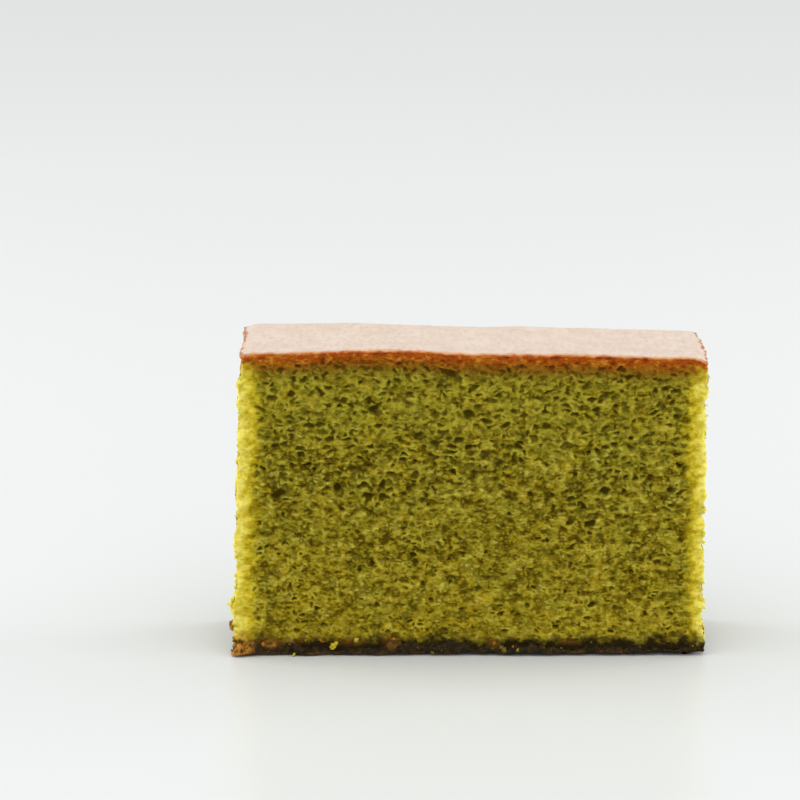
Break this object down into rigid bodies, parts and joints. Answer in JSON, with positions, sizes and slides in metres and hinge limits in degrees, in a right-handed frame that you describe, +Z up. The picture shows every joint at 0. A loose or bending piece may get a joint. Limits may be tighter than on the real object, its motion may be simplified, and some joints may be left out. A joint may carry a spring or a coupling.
{
  "type": "castella sponge cake slice",
  "caption": "Upright cut slice of green tea castella: open green crumb on both faces and ends, thin browned skin on top, dark sticky base.",
  "frame": {"origin": "on the table under the middle of the slice: the centre of the bottom of its bounding box", "axes": "+X along the slice's width, which is its longest side, +Y through its thickness, away from the cut face seen from the front, +Z up, towards the browned skin"},
  "size_m": [0.1018, 0.028, 0.0671],
  "materials": {
    "crumb": "matte",
    "skin": "matte",
    "base": "satin"
  },
  "bodies": {
    "root": {"castella_slice": "crumb"}
  },
  "joints": []
}
